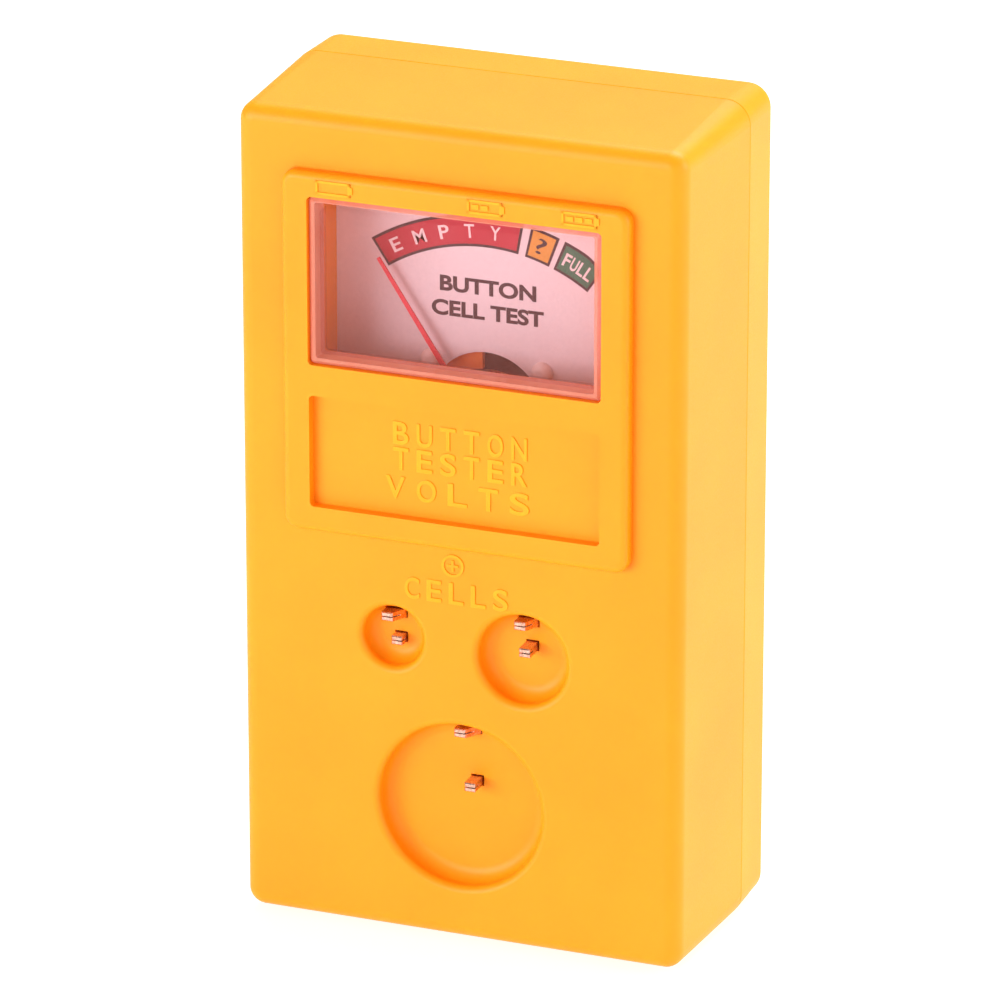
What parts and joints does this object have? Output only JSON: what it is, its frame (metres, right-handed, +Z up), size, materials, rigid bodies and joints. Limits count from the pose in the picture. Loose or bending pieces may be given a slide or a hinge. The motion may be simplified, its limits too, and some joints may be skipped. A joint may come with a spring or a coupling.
{
  "type": "battery tester",
  "caption": "Hand-held button-cell tester: drafted two-part case, raised bezel with tinted window over a swinging needle meter, and round cell wells with sprung contacts.",
  "frame": {"origin": "bottom centre of the whole object's box, with the tester standing on its lower end", "axes": "+Z up the case, from the cell wells towards the meter; -Y out of the front face; +X to the right seen from the front"},
  "size_m": [0.061, 0.0318, 0.11],
  "materials": {
    "case_plastic": "yellow-orange ABS, satin moulded finish",
    "clear_plastic": "clear acrylic with a rose tint, polished",
    "zinc_screw": "zinc-plated steel",
    "dial_paint": "white printed aluminium plate",
    "white_plastic": "natural white nylon",
    "frame_plastic": "orange-brown moulded plastic",
    "soft_iron": "blackened soft iron",
    "magnet_alloy": "cast magnet alloy, ground",
    "brass": "plain brass",
    "bronze_spring": "phosphor bronze strip",
    "contact_metal": "nickel-flashed bronze strip with bare cut edges",
    "aluminium": "thin aluminium",
    "pivot_steel": "hardened steel, polished points",
    "copper_wire": "enamelled copper wire",
    "pointer_paint": "red paint on thin aluminium",
    "board_resin": "brown paper-phenolic board",
    "resistor_coating": "tan lacquer on ceramic, tinned leads",
    "red_insulation": "red PVC insulation",
    "black_insulation": "black PVC insulation"
  },
  "bodies": {
    "case": {"front_shell": "case_plastic", "back_cover": "case_plastic", "case_screws": "zinc_screw", "meter_cover": "clear_plastic", "dial_plate": "dial_paint", "dial_rivets": "white_plastic", "yoke_ring": "soft_iron", "meter_frame": "frame_plastic", "meter_screws": "zinc_screw", "core_magnet": "magnet_alloy", "core_supports": "brass", "front_bridge": "brass", "rear_bridge": "brass", "bridge_screws": "zinc_screw", "front_jewel_screw": "brass", "rear_jewel_screw": "brass", "pointer_stops": "brass", "front_hairspring": "bronze_spring", "rear_hairspring": "bronze_spring", "hairspring_anchors": "brass", "meter_terminals": "brass", "terminal_nuts": "zinc_screw", "leaf_screws": "zinc_screw", "resistor_board": "board_resin", "board_screws": "zinc_screw", "large_resistor": "resistor_coating", "medium_resistor": "resistor_coating", "small_resistor": "resistor_coating", "large_rim_lead": "red_insulation", "small_rim_lead": "red_insulation", "medium_rim_lead": "red_insulation", "large_centre_lead": "black_insulation", "small_centre_lead": "black_insulation", "meter_negative_lead": "black_insulation", "meter_positive_lead": "red_insulation", "large_rim_leaf": "bronze_spring", "large_centre_leaf": "bronze_spring", "medium_rim_leaf": "bronze_spring", "medium_centre_leaf": "bronze_spring", "small_rim_leaf": "bronze_spring", "small_centre_leaf": "bronze_spring"},
    "pointer_movement": {"coil_former": "aluminium", "coil_winding": "copper_wire", "front_hub": "aluminium", "rear_hub": "aluminium", "pivot_pins": "pivot_steel", "pointer": "pointer_paint", "balance_weights": "brass"},
    "large_rim_contact": {"large_rim_contact": "contact_metal"},
    "large_centre_contact": {"large_centre_contact": "contact_metal"},
    "medium_rim_contact": {"medium_rim_contact": "contact_metal"},
    "medium_centre_contact": {"medium_centre_contact": "contact_metal"},
    "small_rim_contact": {"small_rim_contact": "contact_metal"},
    "small_centre_contact": {"small_centre_contact": "contact_metal"}
  },
  "joints": [
    {"name": "pointer_swing", "type": "hinge", "parent": "case", "child": "pointer_movement", "pos_m": [0, 0.0005, 0.0673], "axis": [0, 1, 0], "range_deg": [0, 70], "stiffness_Nm_per_rad": 0.00004, "springref_deg": -5.16, "deforming": ["front_hairspring", "rear_hairspring"]},
    {"name": "large_rim_press", "type": "slide", "parent": "case", "child": "large_rim_contact", "axis": [0, 1, 0], "range_m": [0, 0.0008], "stiffness_N_per_m": 300, "springref_m": -0.0005, "deforming": ["large_rim_leaf"]},
    {"name": "large_centre_press", "type": "slide", "parent": "case", "child": "large_centre_contact", "axis": [0, 1, 0], "range_m": [0, 0.0008], "stiffness_N_per_m": 300, "springref_m": -0.0005, "deforming": ["large_centre_leaf"]},
    {"name": "medium_rim_press", "type": "slide", "parent": "case", "child": "medium_rim_contact", "axis": [0, 1, 0], "range_m": [0, 0.0008], "stiffness_N_per_m": 300, "springref_m": -0.0005, "deforming": ["medium_rim_leaf"]},
    {"name": "medium_centre_press", "type": "slide", "parent": "case", "child": "medium_centre_contact", "axis": [0, 1, 0], "range_m": [0, 0.0008], "stiffness_N_per_m": 300, "springref_m": -0.0005, "deforming": ["medium_centre_leaf"]},
    {"name": "small_rim_press", "type": "slide", "parent": "case", "child": "small_rim_contact", "axis": [0, 1, 0], "range_m": [0, 0.0008], "stiffness_N_per_m": 300, "springref_m": -0.0005, "deforming": ["small_rim_leaf"]},
    {"name": "small_centre_press", "type": "slide", "parent": "case", "child": "small_centre_contact", "axis": [0, 1, 0], "range_m": [0, 0.0008], "stiffness_N_per_m": 300, "springref_m": -0.0005, "deforming": ["small_centre_leaf"]}
  ]
}
